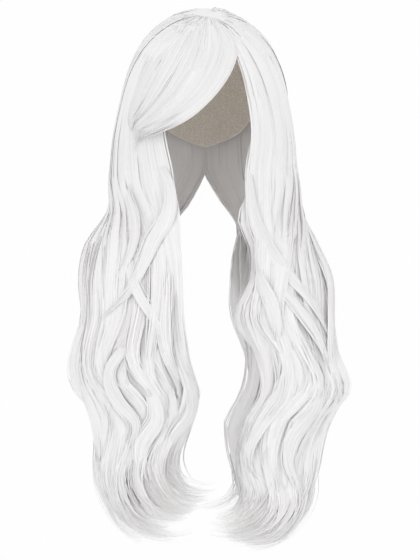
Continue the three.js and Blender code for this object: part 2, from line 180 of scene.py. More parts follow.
SIDE_FALL_LEFT = chart([
    (0.00, 0.0, 0.59, -0.71, 0.94, -0.36, 0.98, 0.36),
    (0.09, 0.0, 0.55, -0.70, 1.04, -0.22, 1.07, 0.40),
    (0.17, 0.0, 0.42, -0.72, 1.05, -0.22, 1.09, 0.39),
    (0.26, 0.5, 0.25, -0.72, 0.73, -0.44, 0.87, 0.14),
    (0.33, 1.0, 0.18, -0.70, 0.59, -0.64, 0.85, -0.15),
    (0.40, 1.0, 0.15, -0.76, 0.58, -0.80, 0.91, -0.36),
    (0.49, 1.0, 0.12, -0.79, 0.55, -0.90, 0.90, -0.53),
    (0.57, 1.0, 0.06, -0.78, 0.54, -0.93, 0.95, -0.60),
    (0.66, 1.0, 0.03, -0.76, 0.49, -0.92, 0.92, -0.62),
    (0.73, 1.0, 0.09, -0.75, 0.44, -0.90, 0.79, -0.61),
    (0.80, 1.0, 0.20, -0.72, 0.50, -0.87, 0.81, -0.60),
    (0.87, 1.0, 0.20, -0.70, 0.50, -0.84, 0.77, -0.59),
    (0.94, 1.0, 0.20, -0.69, 0.50, -0.83, 0.75, -0.57),
])

NAPE_FALL_RIGHT = chart([
    (0.00, 0.0, 0.01, 1.04, 0.67, 0.81, 0.99, 0.26),
    (0.09, 0.0, 0.01, 1.02, 0.69, 0.80, 1.04, 0.30),
    (0.16, 0.0, 0.02, 0.94, 0.70, 0.74, 1.07, 0.29),
    (0.21, 0.0, 0.16, 0.80, 0.73, 0.67, 1.09, 0.23),
    (0.28, 0.5, 0.28, 0.40, 0.61, 0.45, 0.88, 0.10),
    (0.35, 1.0, 0.20, 0.03, 0.50, 0.20, 0.77, -0.06),
    (0.42, 1.0, 0.20, -0.27, 0.51, -0.14, 0.84, -0.22),
    (0.49, 1.0, 0.22, -0.42, 0.51, -0.42, 0.85, -0.33),
    (0.57, 1.0, 0.30, -0.46, 0.55, -0.50, 0.86, -0.38),
    (0.66, 1.0, 0.32, -0.46, 0.57, -0.52, 0.88, -0.41),
    (0.73, 1.0, 0.23, -0.45, 0.50, -0.51, 0.79, -0.40),
    (0.80, 1.0, 0.18, -0.44, 0.46, -0.51, 0.76, -0.39),
    (0.87, 1.0, 0.28, -0.44, 0.50, -0.50, 0.78, -0.39),
])

NAPE_FALL_LEFT = chart([
    (0.00, 0.0, 0.01, 1.04, 0.67, 0.81, 0.99, 0.26),
    (0.09, 0.0, 0.01, 1.02, 0.69, 0.80, 1.06, 0.30),
    (0.16, 0.0, 0.02, 0.94, 0.70, 0.74, 1.09, 0.29),
    (0.21, 0.0, 0.16, 0.80, 0.73, 0.67, 1.10, 0.23),
    (0.28, 0.5, 0.28, 0.40, 0.61, 0.45, 0.91, 0.10),
    (0.35, 1.0, 0.23, 0.03, 0.50, 0.20, 0.82, -0.06),
    (0.42, 1.0, 0.22, -0.27, 0.51, -0.14, 0.86, -0.22),
    (0.49, 1.0, 0.19, -0.42, 0.48, -0.42, 0.83, -0.33),
    (0.57, 1.0, 0.14, -0.46, 0.48, -0.50, 0.86, -0.38),
    (0.66, 1.0, 0.10, -0.46, 0.45, -0.52, 0.84, -0.41),
    (0.73, 1.0, 0.14, -0.45, 0.42, -0.51, 0.73, -0.40),
    (0.80, 1.0, 0.24, -0.44, 0.47, -0.51, 0.72, -0.39),
    (0.87, 1.0, 0.26, -0.44, 0.47, -0.50, 0.70, -0.39),
])

# Hooked ends at a fall's first and second edge. Columns: edge, start as a share of the way down,
# how far across and down the arc goes as shares of the fall's half width and length, sweep in degrees.
CURL_RIGHT = chart([
    (0, 0.89, 0.26, 0.06, 95),
    (1, 0.846, 0.46, 0.147, 106),
])

CURL_LEFT = chart([
    (0, 0.80, 0.22, 0.08, 112),
    (1, 0.822, 0.42, 0.168, 98),
])

# Layers of hair in a fall, from its face inward. Columns: depth under the face, how far in from the
# fall's first edge as a share of its breadth, locks side by side, strands in each, half width and half
# height of a lock, the shares of the way from the whorl to the rim between which it is rooted, and how
# far round a lock its strands lie to each side, in degrees.
SIDE_LAYERS = [
    (4.5, 0.04, 12, 29, 10.5, 3.6, 0.0, 0.45, 75),
    (8.0, 0.12, 10, 13, 13.0, 3.6, 0.72, 0.85, 72),
    (18.0, 0.18, 8, 10, 13.0, 4.5, 0.85, 0.95, 180),
]

NAPE_LAYERS = [
    (5.0, 0.03, 12, 22, 10.5, 4.5, 0.0, 0.45, 72),
    (13.0, 0.03, 9, 14, 13.0, 4.5, 0.80, 0.92, 180),
]

# Turns of the waves on each side, at drops. Hair is swung inward at whole turns, outward at halves.
WAVES_LEFT = chart([(160, -0.3), (262, 0), (445, 0.5), (513, 1), (583, 1.5), (660, 2)])
WAVES_RIGHT = chart([(190, -0.3), (290, 0), (455, 0.5), (550, 1), (622, 1.5), (700, 2)])

# lag: how much lower the waves are at a fall's second edge than at its first. inward: how far its under
# layers reach in past its first edge just below the head, as a share of its breadth. tuck: the drop where
# its outermost lock starts to draw in.
FALLS = {
    "side_fall_left": dict(side=-1, outward=1, face=SIDE_FALL_LEFT, curl=CURL_LEFT, layers=SIDE_LAYERS,
                           waves=WAVES_LEFT, lag=35, inward=0, tuck=130),
    "side_fall_right": dict(side=1, outward=1, face=SIDE_FALL_RIGHT, curl=CURL_RIGHT, layers=SIDE_LAYERS,
                            waves=WAVES_RIGHT, lag=-10, inward=0.17, tuck=130),
    "nape_fall_left": dict(side=-1, outward=-1, face=NAPE_FALL_LEFT, curl=CURL_LEFT, layers=NAPE_LAYERS,
                           waves=WAVES_LEFT, lag=20, inward=0, tuck=310),
    "nape_fall_right": dict(side=1, outward=-1, face=NAPE_FALL_RIGHT, curl=CURL_RIGHT, layers=NAPE_LAYERS,
                            waves=WAVES_RIGHT, lag=10, inward=0, tuck=310),
}

# The fringe's lower and upper edge: x and drop of its root, its bend and the end of its sweep, and then
# of the bend and the end of its run-out, where it joins the side fall.
FRINGE_ROUTE = chart([
    (0, 39, 35, 18, 118, -69, 150, -86, 156, -98, 190),
    (1, -66, 43, -88, 76, -97, 126, -100, 150, -104, 198),
])
FRINGE_STEPS = 26
FRINGE_CROWN_STEPS = 8

# Columns as for the falls' layers
FRINGE_LAYERS = [
    (3.0, 0.0, 10, 26, 7.5, 1.7, 0.0, 0.45, 72),
    (6.5, 0.05, 7, 12, 8.5, 2.0, 0.30, 0.60, 180),
]

# How far the fringe's lower edge is lifted off the form over the head in its run-out, where the side hair
# lies under it, and how much painted shade darkens its fibres against the rest, on the scale of a strand's
# tone
FRINGE_LIFT = 9
FRINGE_PAINTED_SHADE = -0.25

# Locks that cross over the side falls: the fall, half width, whether the tip dives back under, and a
# track down the lock's middle. Columns of a track: drop, x.
CROSSING_LOCKS = [
    ("side_fall_left", 7.5, False, [
        (156, -72), (185, -61), (213, -45), (237, -43), (262, -50), (280, -63), (303, -73), (327, -84),
        (351, -98), (373, -119), (392, -139), (411, -154)]),
    ("side_fall_left", 7.0, False, [
        (188, -113), (221, -101), (262, -89), (285, -90), (311, -98), (335, -116), (350, -140), (358, -162)]),
    ("side_fall_left", 6.5, False, [
        (280, -98), (315, -95), (351, -84), (381, -66), (410, -52), (445, -46)]),
    ("side_fall_left", 8.0, True, [
        (395, -76), (412, -91), (436, -114), (460, -121), (488, -110), (515, -88), (545, -96), (579, -122)]),
    ("side_fall_left", 8.5, True, [
        (440, -88), (465, -75), (487, -64), (511, -61), (545, -80), (587, -74), (625, -56)]),
    ("side_fall_left", 7.5, False, [
        (420, -38), (455, -25), (478, -18), (504, -20), (534, -42), (568, -47), (592, -32), (606, -8)]),
    ("side_fall_right", 8.0, False, [
        (150, 71), (172, 64), (204, 58), (238, 59), (270, 67), (298, 82), (328, 105), (356, 128),
        (384, 146), (412, 158), (440, 163)]),
    ("side_fall_right", 7.5, True, [
        (290, 62), (335, 72), (368, 85), (411, 92), (440, 84)]),
    ("side_fall_right", 6.0, False, [
        (318, 84), (345, 98), (372, 119), (400, 138), (428, 150), (460, 154)]),
    ("side_fall_right", 8.5, True, [
        (375, 76), (399, 86), (427, 101), (451, 105), (481, 97), (519, 71), (549, 57), (572, 57),
        (596, 70), (625, 92)]),
    ("side_fall_right", 8.0, True, [
        (440, 140), (470, 148), (500, 137), (535, 112), (565, 106), (600, 116), (635, 104)]),
]

# A crossing lock's stations and strands, its depth under the fall's face and its half height, and how much
# deeper its start and a diving tip lie
CROSSING_STEPS = 26
CROSSING_STRANDS = 34
CROSSING_DEPTH = -2.5
CROSSING_RISE = 1.6
CROSSING_START = 14
CROSSING_DIVE = 12

# The base of short fibres over the cap, under the crown's locks: its depth, how much higher it stands
# at the whorl, its wall, how far down
CROWN_BASE_DEPTH = 6.4
CROWN_BASE_RAISE = 1.7
CROWN_BASE_WALL = 3
CROWN_BASE_DROP = 42

WHORL = unit(np.array([0.03, -0.4, 0.92]))
DOME_AXES = np.array([HALF_WIDTH, HALF_LENGTH, UPPER_HEIGHT])
DOME_CENTRE = np.array([0, CENTRE_Y, -CENTRE_DROP])


# Camera, light and floor

def linear(code):
    """An sRGB hex value as a linear colour."""
    channels = [int(code[i:i + 2], 16) / 255 for i in (1, 3, 5)]
    return [c / 12.92 if c <= 0.04045 else ((c + 0.055) / 1.055) ** 2.4 for c in channels] + [1]


def place_camera():
    data = bpy.data.cameras.new("camera")
    data.sensor_width = CAMERA_SENSOR
    data.lens = CAMERA_SENSOR * CAMERA_DISTANCE / (FRAME_HEIGHT * MM_PER_PIXEL * MM)
    data.clip_end = 100
    camera = bpy.data.objects.new("camera", data)
    across = (FRAME_WIDTH / 2 - ORIGIN_COLUMN) * MM_PER_PIXEL * MM
    up = (ORIGIN_ROW - FRAME_HEIGHT / 2) * MM_PER_PIXEL * MM
    camera.location = (across, -CAMERA_DISTANCE, up)
    camera.rotation_euler = (math.radians(90), 0, 0)
    bpy.context.scene.collection.objects.link(camera)
    bpy.context.scene.camera = camera


place_camera()


def add_node(tree, kind, inputs=(), **settings):
    """A node with its settings, and its inputs as values or as sockets to link."""
    made = tree.nodes.new(kind)
    for key, value in settings.items():
        setattr(made, key, value)
    for name, value in dict(inputs).items():
        if isinstance(value, bpy.types.NodeSocket):
            tree.links.new(value, made.inputs[name])
        else:
            made.inputs[name].default_value = value
    return made


def light_studio():
    scene = bpy.context.scene
    scene.view_settings.view_transform = "Standard"
    world = bpy.data.worlds.new("white_studio")
    world.use_nodes = True
    tree = world.node_tree
    background = tree.nodes["Background"]
    background.inputs["Color"].default_value = linear("#fefefe")
    seen = add_node(tree, "ShaderNodeLightPath")
    strength = add_node(tree, "ShaderNodeMapRange",
                        {"Value": seen.outputs["Is Camera Ray"], "To Min": STUDIO_LIGHT})
    tree.links.new(strength.outputs[0], background.inputs["Strength"])
    scene.world = world
    scene.cycles.diffuse_bounces = DIFFUSE_BOUNCES


def hang_soft_boxes():
    middle = np.array([0, 0, -TIP_DROP / 2 * MM])
    for name, place, size, power in SOFT_BOXES:
        data = bpy.data.lights.new(name, "AREA")
        data.size = size
        data.energy = power
        lamp = bpy.data.objects.new(name, data)
        lamp.location = place
        away = Vector(np.array(place) - middle)
        lamp.rotation_euler = away.to_track_quat("Z", "Y").to_euler()
        bpy.context.scene.collection.objects.link(lamp)


# Hair laid out along routes

def fall_face(fall, edge, drop):
    """Place, outward direction and breadth of a fall's face at edge shares and drops."""
    way = (drop - RIM_DROP) / (TIP_DROP - RIM_DROP)
    loose, first_x, first_y, middle_x, middle_y, last_x, last_y = fall["face"](way)
    width = mix(HALF_WIDTH, FALL_HALF_WIDTH, loose) * fall["side"]
    front = mix(HALF_LENGTH, FALL_FRONT, loose)
    weights = ((1 - edge) * (1 - 2 * edge), 4 * edge * (1 - edge), edge * (2 * edge - 1))
    slopes = (4 * edge - 3, 4 - 8 * edge, 4 * edge - 1)
    x = width * (weights[0] * first_x + weights[1] * middle_x + weights[2] * last_x)
    y = front * (weights[0] * first_y + weights[1] * middle_y + weights[2] * last_y)
    across = width * (slopes[0] * first_x + slopes[1] * middle_x + slopes[2] * last_x)
    ahead = front * (slopes[0] * first_y + slopes[1] * middle_y + slopes[2] * last_y)
    breadth = np.hypot(across, ahead)
    turn = fall["side"] * fall["outward"] / breadth
    out = np.stack([turn * ahead, -turn * across, np.zeros_like(drop)], axis=-1)
    return np.stack([x, y, -drop], axis=-1), out, breadth


def comb_fall(fall, hair):
    """Places, outward directions, and a lock's spread and rise, down its fall to the hooked end."""
    start, arc_across, arc_down, sweep = fall["curl"](hair["edge"])
    length = TIP_DROP - RIM_DROP
    lowest = RIM_DROP + (start + hair["early"])[:, None] * length
    drop = mix(RIM_DROP, lowest, np.linspace(0, 1, HANG_STEPS + 1)[None])
    drop = np.hstack([drop, np.repeat(lowest, CURL_STEPS, axis=1)])
    turned = np.hstack([np.zeros(HANG_STEPS + 1), np.linspace(0, 1, CURL_STEPS + 1)[1:]])[None]
    angle = np.radians(sweep * hair["reach"])[:, None] * turned
    inward = fall["inward"] * smoothstep(drop, 200, 270) * (1 - smoothstep(drop, 390, 470))
    first = hair["inset"][:, None] - inward * hair["under"][:, None]
    last = 1 - OUTER_INSET * smoothstep(drop, fall["tuck"], fall["tuck"] + TUCK_LENGTH)
    edge = mix(first, last, hair["edge"][:, None])

    wavy = smoothstep(drop, WAVES_FROM, WAVES_FULL)
    lean = hair["lean"][:, None]
    waved = drop - fall["lag"] * (edge - 0.5) + hair["late"][:, None]
    phase = 2 * np.pi * fall["waves"](waved)[0] + hair["phase"][:, None]
    room = 0.15 + 0.85 * np.sin(np.pi * np.clip(edge, 0, 1))
    swing = -hair["swing"][:, None] * wavy * room * np.cos(phase)
    relief = hair["relief"][:, None] * wavy * np.sin(phase + lean)
    roll = WAVE_ROLL * wavy * np.sin(phase + 2 * lean)

    smooth = 1 - smoothstep(drop, SMOOTH_TO, WAVED_FROM)
    scale = mix(1, 0.12, smoothstep(turned, -0.3, 1)) * (1 + 0.15 * wavy * np.sin(drop / 37 + lean))
    full = scale * mix(1, SMOOTH_RISE, smooth)
    scale = scale * mix(1, SMOOTH_WIDTH, smooth)
    beside = hair["width"][:, None] * hair["across"][:, None] * scale
    above = hair["rise"][:, None] * hair["up"][:, None] * full
    lateral = swing + beside + hair["drift"][:, None] * np.sin(drop / 61 + hair["drift"][:, None] * 9)

    _, _, breadth = fall_face(fall, edge, drop)
    face, out, _ = fall_face(fall, edge + lateral / breadth, drop)
    depth = hair["depth"][:, None] - relief - above - roll * beside
    place = face - out * depth[..., None]
    reach_across = (arc_across * hair["hook"])[:, None] * FALL_HALF_WIDTH
    place[..., 0] -= fall["side"] * reach_across * (1 - np.cos(angle))
    place[..., 2] -= arc_down[:, None] * length * np.sin(angle)
    place = ease(place, HANG_STEPS, 8)
    hand = fall["side"] * fall["outward"]
    return place, lock_surface(hair, place, out, hand, scale, full, roll), scale, full


def lock_surface(hair, place, out, hand, scale, full, roll=0):
    """Directions that a lock's rounded and rolled surface faces where its strands lie."""
    aside = hand * np.cross(out, unit(np.gradient(place, axis=1)))
    facing = (hair["up"] + (hair["up"] == 0))[:, None]
    slope = (hair["across"] * hair["rise"] / hair["width"])[:, None] * full / scale - roll * facing
    return unit(out * facing[..., None] + aside * slope[..., None])


def comb_dome(hair, rim_place, steps):
    """The same over the head, from the root to a place at the rim."""
    toward = (rim_place - DOME_CENTRE) / DOME_AXES
    radius = np.linalg.norm(toward, axis=-1)[:, None]
    toward = unit(toward)
    angle = np.arccos(np.clip(toward @ WHORL, -1, 1))[:, None]
    share = mix(hair["root"][:, None], 1, np.linspace(0, 1, steps + 1)[None])
    direction = np.sin((1 - share) * angle)[..., None] * WHORL
    direction = direction + np.sin(share * angle)[..., None] * toward[:, None]
    direction = direction / np.sin(angle)[..., None]
    spread = np.clip(np.sin(share * angle) / np.sin(angle), 0, 1)
    full = SMOOTH_RISE * mix(0.5, 1, spread)
    spread = SMOOTH_WIDTH * spread
    depth = hair["depth"][:, None] - (hair["rise"] * hair["up"])[:, None] * full
    dive = hair["dive"][:, None] * (1 - smoothstep(share - hair["root"][:, None], 0, 0.14))
    height = mix(1 - depth / UPPER_HEIGHT, radius, share**2) - dive / UPPER_HEIGHT
    place = DOME_CENTRE + DOME_AXES * direction * height[..., None]
    inward = (hair["up"] < 0)[:, None, None]
    return place, unit(direction / DOME_AXES) * np.where(inward, -1, 1), spread, full


def ease(places, around, passes=4, reach=5):
    """Rounds off the bend that routes have round one station."""
    low, high = max(1, around - reach), min(places.shape[1] - 1, around + reach + 1)
    for _ in range(passes):
        middle = (places[:, low - 1:high - 1] + 2 * places[:, low:high] + places[:, low + 1:high + 1]) / 4
        places[:, low:high] = middle
    return places


def over_the_head(hair, lower, steps, passes):
    """Routes with their way over the head set before their lower stretch, and the bend between eased."""
    upper = comb_dome(hair, lower[0][:, 0], steps)
    places, outs, spread, full = [np.hstack([a[:, :-1], b]) for a, b in zip(upper, lower)]
    return ease(places, steps, passes), ease(outs, steps, passes), spread, ease(full, steps, passes)


def comb_whole(fall, hair):
    """Routes from the root over the head and down a fall."""
    return over_the_head(hair, comb_fall(fall, hair), DOME_STEPS, 4)


def bend(first, middle, last, way):
    """A parabola through a first and a last place, toward a middle one."""
    return (1 - way) ** 2 * first + 2 * way * (1 - way) * middle + way**2 * last


def comb_fringe(hair):
    """Routes from the root over the head, along the fringe's sweep and down into the side fall."""
    points = np.moveaxis(FRINGE_ROUTE(mix(hair["inset"], 1, hair["edge"])).reshape(5, 2, -1, 1), 1, -1)
    way = np.linspace(0, 1.3, FRINGE_STEPS + 1)[None] * hair["reach"][:, None]
    sweep = np.clip(way, 0, 1)[..., None]
    run_out = np.clip((way - 1) / 0.5, 0, 1)[..., None]
    flat = np.where(way[..., None] < 1, bend(*points[:3], sweep), bend(*points[2:], run_out))
    x, drop = flat[..., 0], flat[..., 1]
    rise = np.maximum(0, CENTRE_DROP - drop) / UPPER_HEIGHT
    ahead = -np.sqrt(np.maximum(0.004, 1 - (x / HALF_WIDTH) ** 2 - rise**2))
    on_face = np.stack([x, CENTRE_Y + HALF_LENGTH * ahead, -drop], axis=-1)
    out_below = unit(np.stack([x / HALF_WIDTH, ahead, rise], axis=-1) / DOME_AXES)
    along = unit(np.gradient(on_face, axis=1))
    scale = mix(1, 0.4, smoothstep(way, 0.6, 1.3))
    full = scale * smoothstep(way, -0.3, 0.5)
    scale = scale * mix(SMOOTH_WIDTH, 1, smoothstep(way, 0, 0.6))
    beside = np.cross(out_below, along) * ((hair["width"] * hair["across"])[:, None] * scale)[..., None]
    sink = hair["depth"][:, None] - (hair["rise"] * hair["up"])[:, None] * full
    lift = FRINGE_LIFT * mix(1, 0.35, hair["edge"])[:, None] * smoothstep(drop, 95, 155)
    sink = sink - lift + 6 * smoothstep(way, 1.0, 1.35)
    below = on_face + beside - out_below * sink[..., None]
    facing = lock_surface(hair, below, out_below, 1, scale, full)
    return over_the_head(hair, (below, facing, scale, full), FRINGE_CROWN_STEPS, 12)


def comb_crossing(fall, track, dives, hair):
    """Routes of a lock that comes out from under a side fall's face and crosses over it."""
    drops = np.linspace(track[0][0], track[-1][0], CROSSING_STEPS + 1)
    way = np.linspace(0, 1, CROSSING_STEPS + 1)
    wanted = chart(track)(drops)[0] * fall["side"]
    edges = np.linspace(-0.1, 1.1, 49)[:, None]
    across = fall_face(fall, edges + 0 * drops, drops + 0 * edges)[0][..., 0] * fall["side"]
    edge = np.array([np.interp(wanted[i], across[:, i], edges[:, 0]) for i in range(len(drops))])
    face, out, _ = fall_face(fall, edge, drops)
    count = len(hair["edge"])
    face, out = np.repeat(face[None], count, axis=0), np.repeat(out[None], count, axis=0)

    tip = smoothstep(way, 0.45, 1)
    scale = (mix(0.3, 1, smoothstep(way, 0, 0.5)) * mix(1, 0.1, tip))[None] * np.ones((count, 1))
    under = CROSSING_START * (1 - smoothstep(way, 0, 0.28)) + dives * CROSSING_DIVE * smoothstep(way, 0.7, 1)
    above = (hair["rise"] * hair["up"])[:, None] * scale - hair["depth"][:, None] - under[None]
    sway = hair["drift"][:, None] * np.sin(drops[None] / 41 + hair["drift"][:, None] * 7)
    beside = (hair["width"] * hair["across"])[:, None] * scale + sway
    aside = fall["side"] * np.cross(out, unit(np.gradient(face, axis=1)))
    place = face + aside * beside[..., None] + out * above[..., None]
    return place, lock_surface(hair, place, out, fall["side"], scale, scale), scale, scale


# Locks and their strands

def plant_locks(layer):
    """The values that one layer's locks have, one number a lock."""
    depth, inset, count, _, width, rise, root, _, _ = layer
    edge = (np.arange(count) + 0.5) / count + rng.normal(0, 0.1, count) / count
    return dict(
        edge=edge,
        inset=np.full(count, inset),
        under=np.full(count, float(inset > 0.1)),
        depth=depth + rng.normal(0, 0.8, count),
        late=rng.normal(0, 6, count),
        phase=rng.normal(0, 0.45, count),
        swing=WAVE_SWING * rng.uniform(0.5, 1.35, count),
        relief=WAVE_RELIEF * rng.uniform(0.5, 1.2, count),
        lean=rng.uniform(0, 2 * np.pi, count),
        early=np.minimum(rng.normal(-0.006, 0.016, count), 0.006),
        reach=rng.uniform(0.74, 1.1, count),
        hook=rng.uniform(0.82, 1.12, count),
        width=width * rng.uniform(0.85, 1.15, count),
        rise=rise * rng.uniform(0.85, 1.15, count),
        drift=np.zeros(count),
        across=np.zeros(count),
        up=np.zeros(count),
        root=np.full(count, max(root + 0.1, 0.3)),
        dive=np.full(count, 3.0),
        tone=rng.uniform(0.4, 0.6, count),
    )


def part_strands(locks, layer):
    """The values of the strands that lie over locks, one number a strand."""
    strands = {key: np.repeat(value, layer[3]) for key, value in locks.items()}
    count = len(strands["edge"])
    around = np.radians(layer[8]) * rng.uniform(-1, 1, count)
    strands["across"] = np.sin(around) * rng.uniform(0.9, 1.3, count)
    strands["up"] = np.cos(around) * rng.uniform(0.85, 1.1, count)
    strands["phase"] += rng.normal(0, 0.13, count)
    strands["swing"] *= rng.uniform(0.9, 1.1, count)
    strands["early"] += rng.normal(-0.002, 0.006, count)
    strands["reach"] *= 1 - 0.2 * rng.uniform(0, 1, count) ** 2
    strands["drift"] = rng.normal(0, 1.1, count) * np.where(rng.uniform(0, 1, count) < STRAY_SHARE, 4, 1)
    strands["root"] = mix(layer[6], layer[7], rng.uniform(0, 1, count) ** 1.6)
    strands["dive"] = np.full(count, 4.0)
    strands["tone"] += rng.normal(0, 0.2, count)
    return strands


# Meshes joined from many closed tubes

def tube_rings(places, outs, half_width, half_rise, section):
    """Section rings carried along routes, the way each station faces, and how far corners lean from that."""
    along = unit(np.gradient(places, axis=1))
    out = unit(outs - np.sum(outs * along, axis=-1, keepdims=True) * along)
    across = np.cross(out, along)
    sideways = across[:, :, None] * (half_width[..., None, None] * section[:, 0, None])
    outward = out[:, :, None] * (half_rise[..., None, None] * section[:, 1, None])
    lean = sideways * (ROUNDNESS * half_rise / half_width**2)[..., None, None]
    return places[:, :, None] + sideways + outward, out, lean


def tube_faces(shape, first, last):
    """Faces of the tubes between two stations of each route: quads along the sides, and end faces."""
    count, stations, sides, _ = shape
    station = np.arange(stations - 1)[None]
    route, at = np.nonzero((station >= first[:, None]) & (station < last[:, None]))
    ring = (route * stations + at) * sides
    quads = []
    for k in range(sides):
        near, far = ring + k, ring + (k + 1) % sides
        quads.append(np.stack([near, far, far + sides, near + sides], axis=-1))
    base = np.arange(count) * stations
    starts = ((base + first) * sides)[:, None] + np.arange(sides)[None, ::-1]
    ends = ((base + last) * sides)[:, None] + np.arange(sides)[None]
    return np.vstack(quads), np.vstack([starts, ends])


def tubes(routes, half_width, half_rise, section, tone, first, last):
    """Vertices, faces and surface values of a batch of closed tubes."""
    places, outs = routes[:2]
    rings, out, lean = tube_rings(places, outs, half_width, half_rise, section)
    quads, caps = tube_faces(rings.shape, first, last)
    sides = len(section)
    side_height = np.sign(section[:, 1] + np.roll(section[:, 1], -1))
    upward = np.repeat(side_height, len(quads) // sides)[:, None, None]
    corner_facing = unit(out.reshape(-1, 3)[quads // sides] * upward + lean.reshape(-1, 3)[quads])
    gone = np.cumsum(np.linalg.norm(np.diff(places, axis=1, prepend=places[:, :1]), axis=-1), axis=1)
    lie = np.zeros(rings.shape)
    lie[..., 0] = half_width[..., None] * section[:, 0] + rng.uniform(0, 900, len(places))[:, None, None]
    lie[..., 1] = gone[..., None]
    tones = np.broadcast_to(tone[:, None, None], rings.shape[:3])
    used = np.unique(quads)
    renumber = np.zeros(rings.size // 3, dtype=int)
    renumber[used] = np.arange(len(used))
    return dict(
        vertices=rings.reshape(-1, 3)[used],
        faces=[renumber[quads], renumber[caps]],
        facing=np.vstack([corner_facing.reshape(-1, 3), np.zeros((caps.size, 3))]),
        lie=lie.reshape(-1, 3)[used],
        tone=tones.reshape(-1)[used],
    )


def joined_piece(name, batches, material):
    """One mesh of several batches of tubes, in metres."""
    faces, start = [], 0
    for batch in batches:
        for group in batch["faces"]:
            faces.extend((group + start).tolist())
        start += len(batch["vertices"])
    mesh = bpy.data.meshes.new(name)
    mesh.from_pydata(np.vstack([batch["vertices"] for batch in batches]) * MM, [], faces)
    mesh.polygons.foreach_set("use_smooth", np.ones(len(faces), dtype=bool))
    mesh.normals_split_custom_set(np.vstack([batch["facing"] for batch in batches]))
    lie = mesh.attributes.new("lie", "FLOAT_VECTOR", "POINT")
    lie.data.foreach_set("vector", np.vstack([batch["lie"] for batch in batches]).ravel())
    tone = mesh.attributes.new("tone", "FLOAT", "POINT")
    tone.data.foreach_set("value", np.hstack([batch["tone"] for batch in batches]))
    mesh.materials.append(material)
    piece = bpy.data.objects.new(name, mesh)
    bpy.context.scene.collection.objects.link(piece)
    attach(piece, "root")
    return piece


def strand_widths(stations, count, tip_steps, width):
    """Half widths along strands: thin at the root, full, and drawn out to the tip."""
    along = np.arange(stations)
    root = smoothstep(along, -1, 3) * 0.7 + 0.3
    tip = mix(0.12, 1, smoothstep(stations - 1 - along, 0, tip_steps))
    return np.repeat(np.minimum(root, tip)[None] * width, count, axis=0)


ANGLES = np.arange(LOCK_SIDES) * 2 * np.pi / LOCK_SIDES
LOCK_SECTION = np.stack([np.cos(ANGLES), np.sin(ANGLES)], axis=-1)


def lock_batch(hair, routes, tip_steps):
    """The bodies of locks, which close the gaps between their strands."""
    places, _, spread, full = routes
    shape = strand_widths(places.shape[1], len(places), tip_steps, 1.0)
    width = shape * np.maximum(0.1, spread) * hair["width"][:, None] * 0.95
    rise = shape * full * hair["rise"][:, None] * 0.9
    # The bodies are painted a little darker than their strands, as painted shade in the gaps between strands
    return lambda first, last: tubes(routes, width, rise, LOCK_SECTION, hair["tone"] - 0.05, first, last)


def strand_batch(hair, routes, tip_steps, width):
    """Strands, narrower toward the whorl."""
    places, _, spread, _ = routes
    widths = strand_widths(places.shape[1], len(places), tip_steps, width)
    widths = widths * mix(0.55, 1, np.clip(spread, 0, 1))
    rises = widths * STRAND_RISE / STRAND_WIDTH
    return lambda first, last: tubes(routes, widths, rises, STRAND_SECTION, hair["tone"], first, last)


def split(batch_of, count, steps, total):
    """A batch's upper part, over the head, and its lower part. They meet at staggered stations."""
    cut = steps + rng.integers(-2, 4, count)
    upper = batch_of(np.zeros(count, dtype=int), cut)
    lower = batch_of(cut, np.full(count, total))
    return upper, lower


# Materials

# Pitch, length and depth of the fine streaks along a lock, as coarse as they need to be to show
STREAK_PITCH = 1.6
STREAK_LENGTH = 90
STREAK_DEPTH = 0.4


def modacrylic_fibre():
    """Modacrylic wig fibre, heat-set in waves: a soft satin white, with fine streaks along each lock."""
    material = bpy.data.materials.new("modacrylic_fibre")
    material.use_nodes = True
    tree = material.node_tree
    shader = tree.nodes["Principled BSDF"]
    lie = add_node(tree, "ShaderNodeAttribute", attribute_name="lie")
    # The tone attribute gives each strand a random tone, and also carries painted shade: the fringe, the
    # crossing locks' strands and the lock bodies are set darker
    tone = add_node(tree, "ShaderNodeAttribute", attribute_name="tone")
    scale = (1 / STREAK_PITCH, 1 / STREAK_LENGTH, 0)
    combed = add_node(tree, "ShaderNodeVectorMath", {0: lie.outputs["Vector"], 1: scale},
                      operation="MULTIPLY")
    streak = add_node(tree, "ShaderNodeTexNoise", {"Vector": combed.outputs[0], "Scale": 1.0, "Detail": 2.0})
    both = add_node(tree, "ShaderNodeMath", {0: streak.outputs["Fac"], 1: 0.5, 2: tone.outputs["Fac"]},
                    operation="MULTIPLY_ADD")
    shades = add_node(tree, "ShaderNodeMapRange",
                      {"Value": both.outputs[0], "From Min": 0.2, "From Max": 1.2})
    colour = add_node(tree, "ShaderNodeMix", {"Factor": shades.outputs[0]}, data_type="RGBA")
    colour.inputs[6].default_value = linear("#e2e1e1")
    colour.inputs[7].default_value = linear("#f7f6f6")
    bump = add_node(tree, "ShaderNodeBump",
                    {"Height": streak.outputs["Fac"], "Strength": 0.35, "Distance": STREAK_DEPTH * MM})
    tree.links.new(colour.outputs[2], shader.inputs["Base Color"])
    tree.links.new(bump.outputs[0], shader.inputs["Normal"])
    shader.inputs["Roughness"].default_value = 0.42
    shader.inputs["IOR"].default_value = 1.5
    return material


# Thread spacing and depth of the cap's net, as coarse as they need to be to show
NET_PITCH = 2.2
NET_DEPTH = 0.3


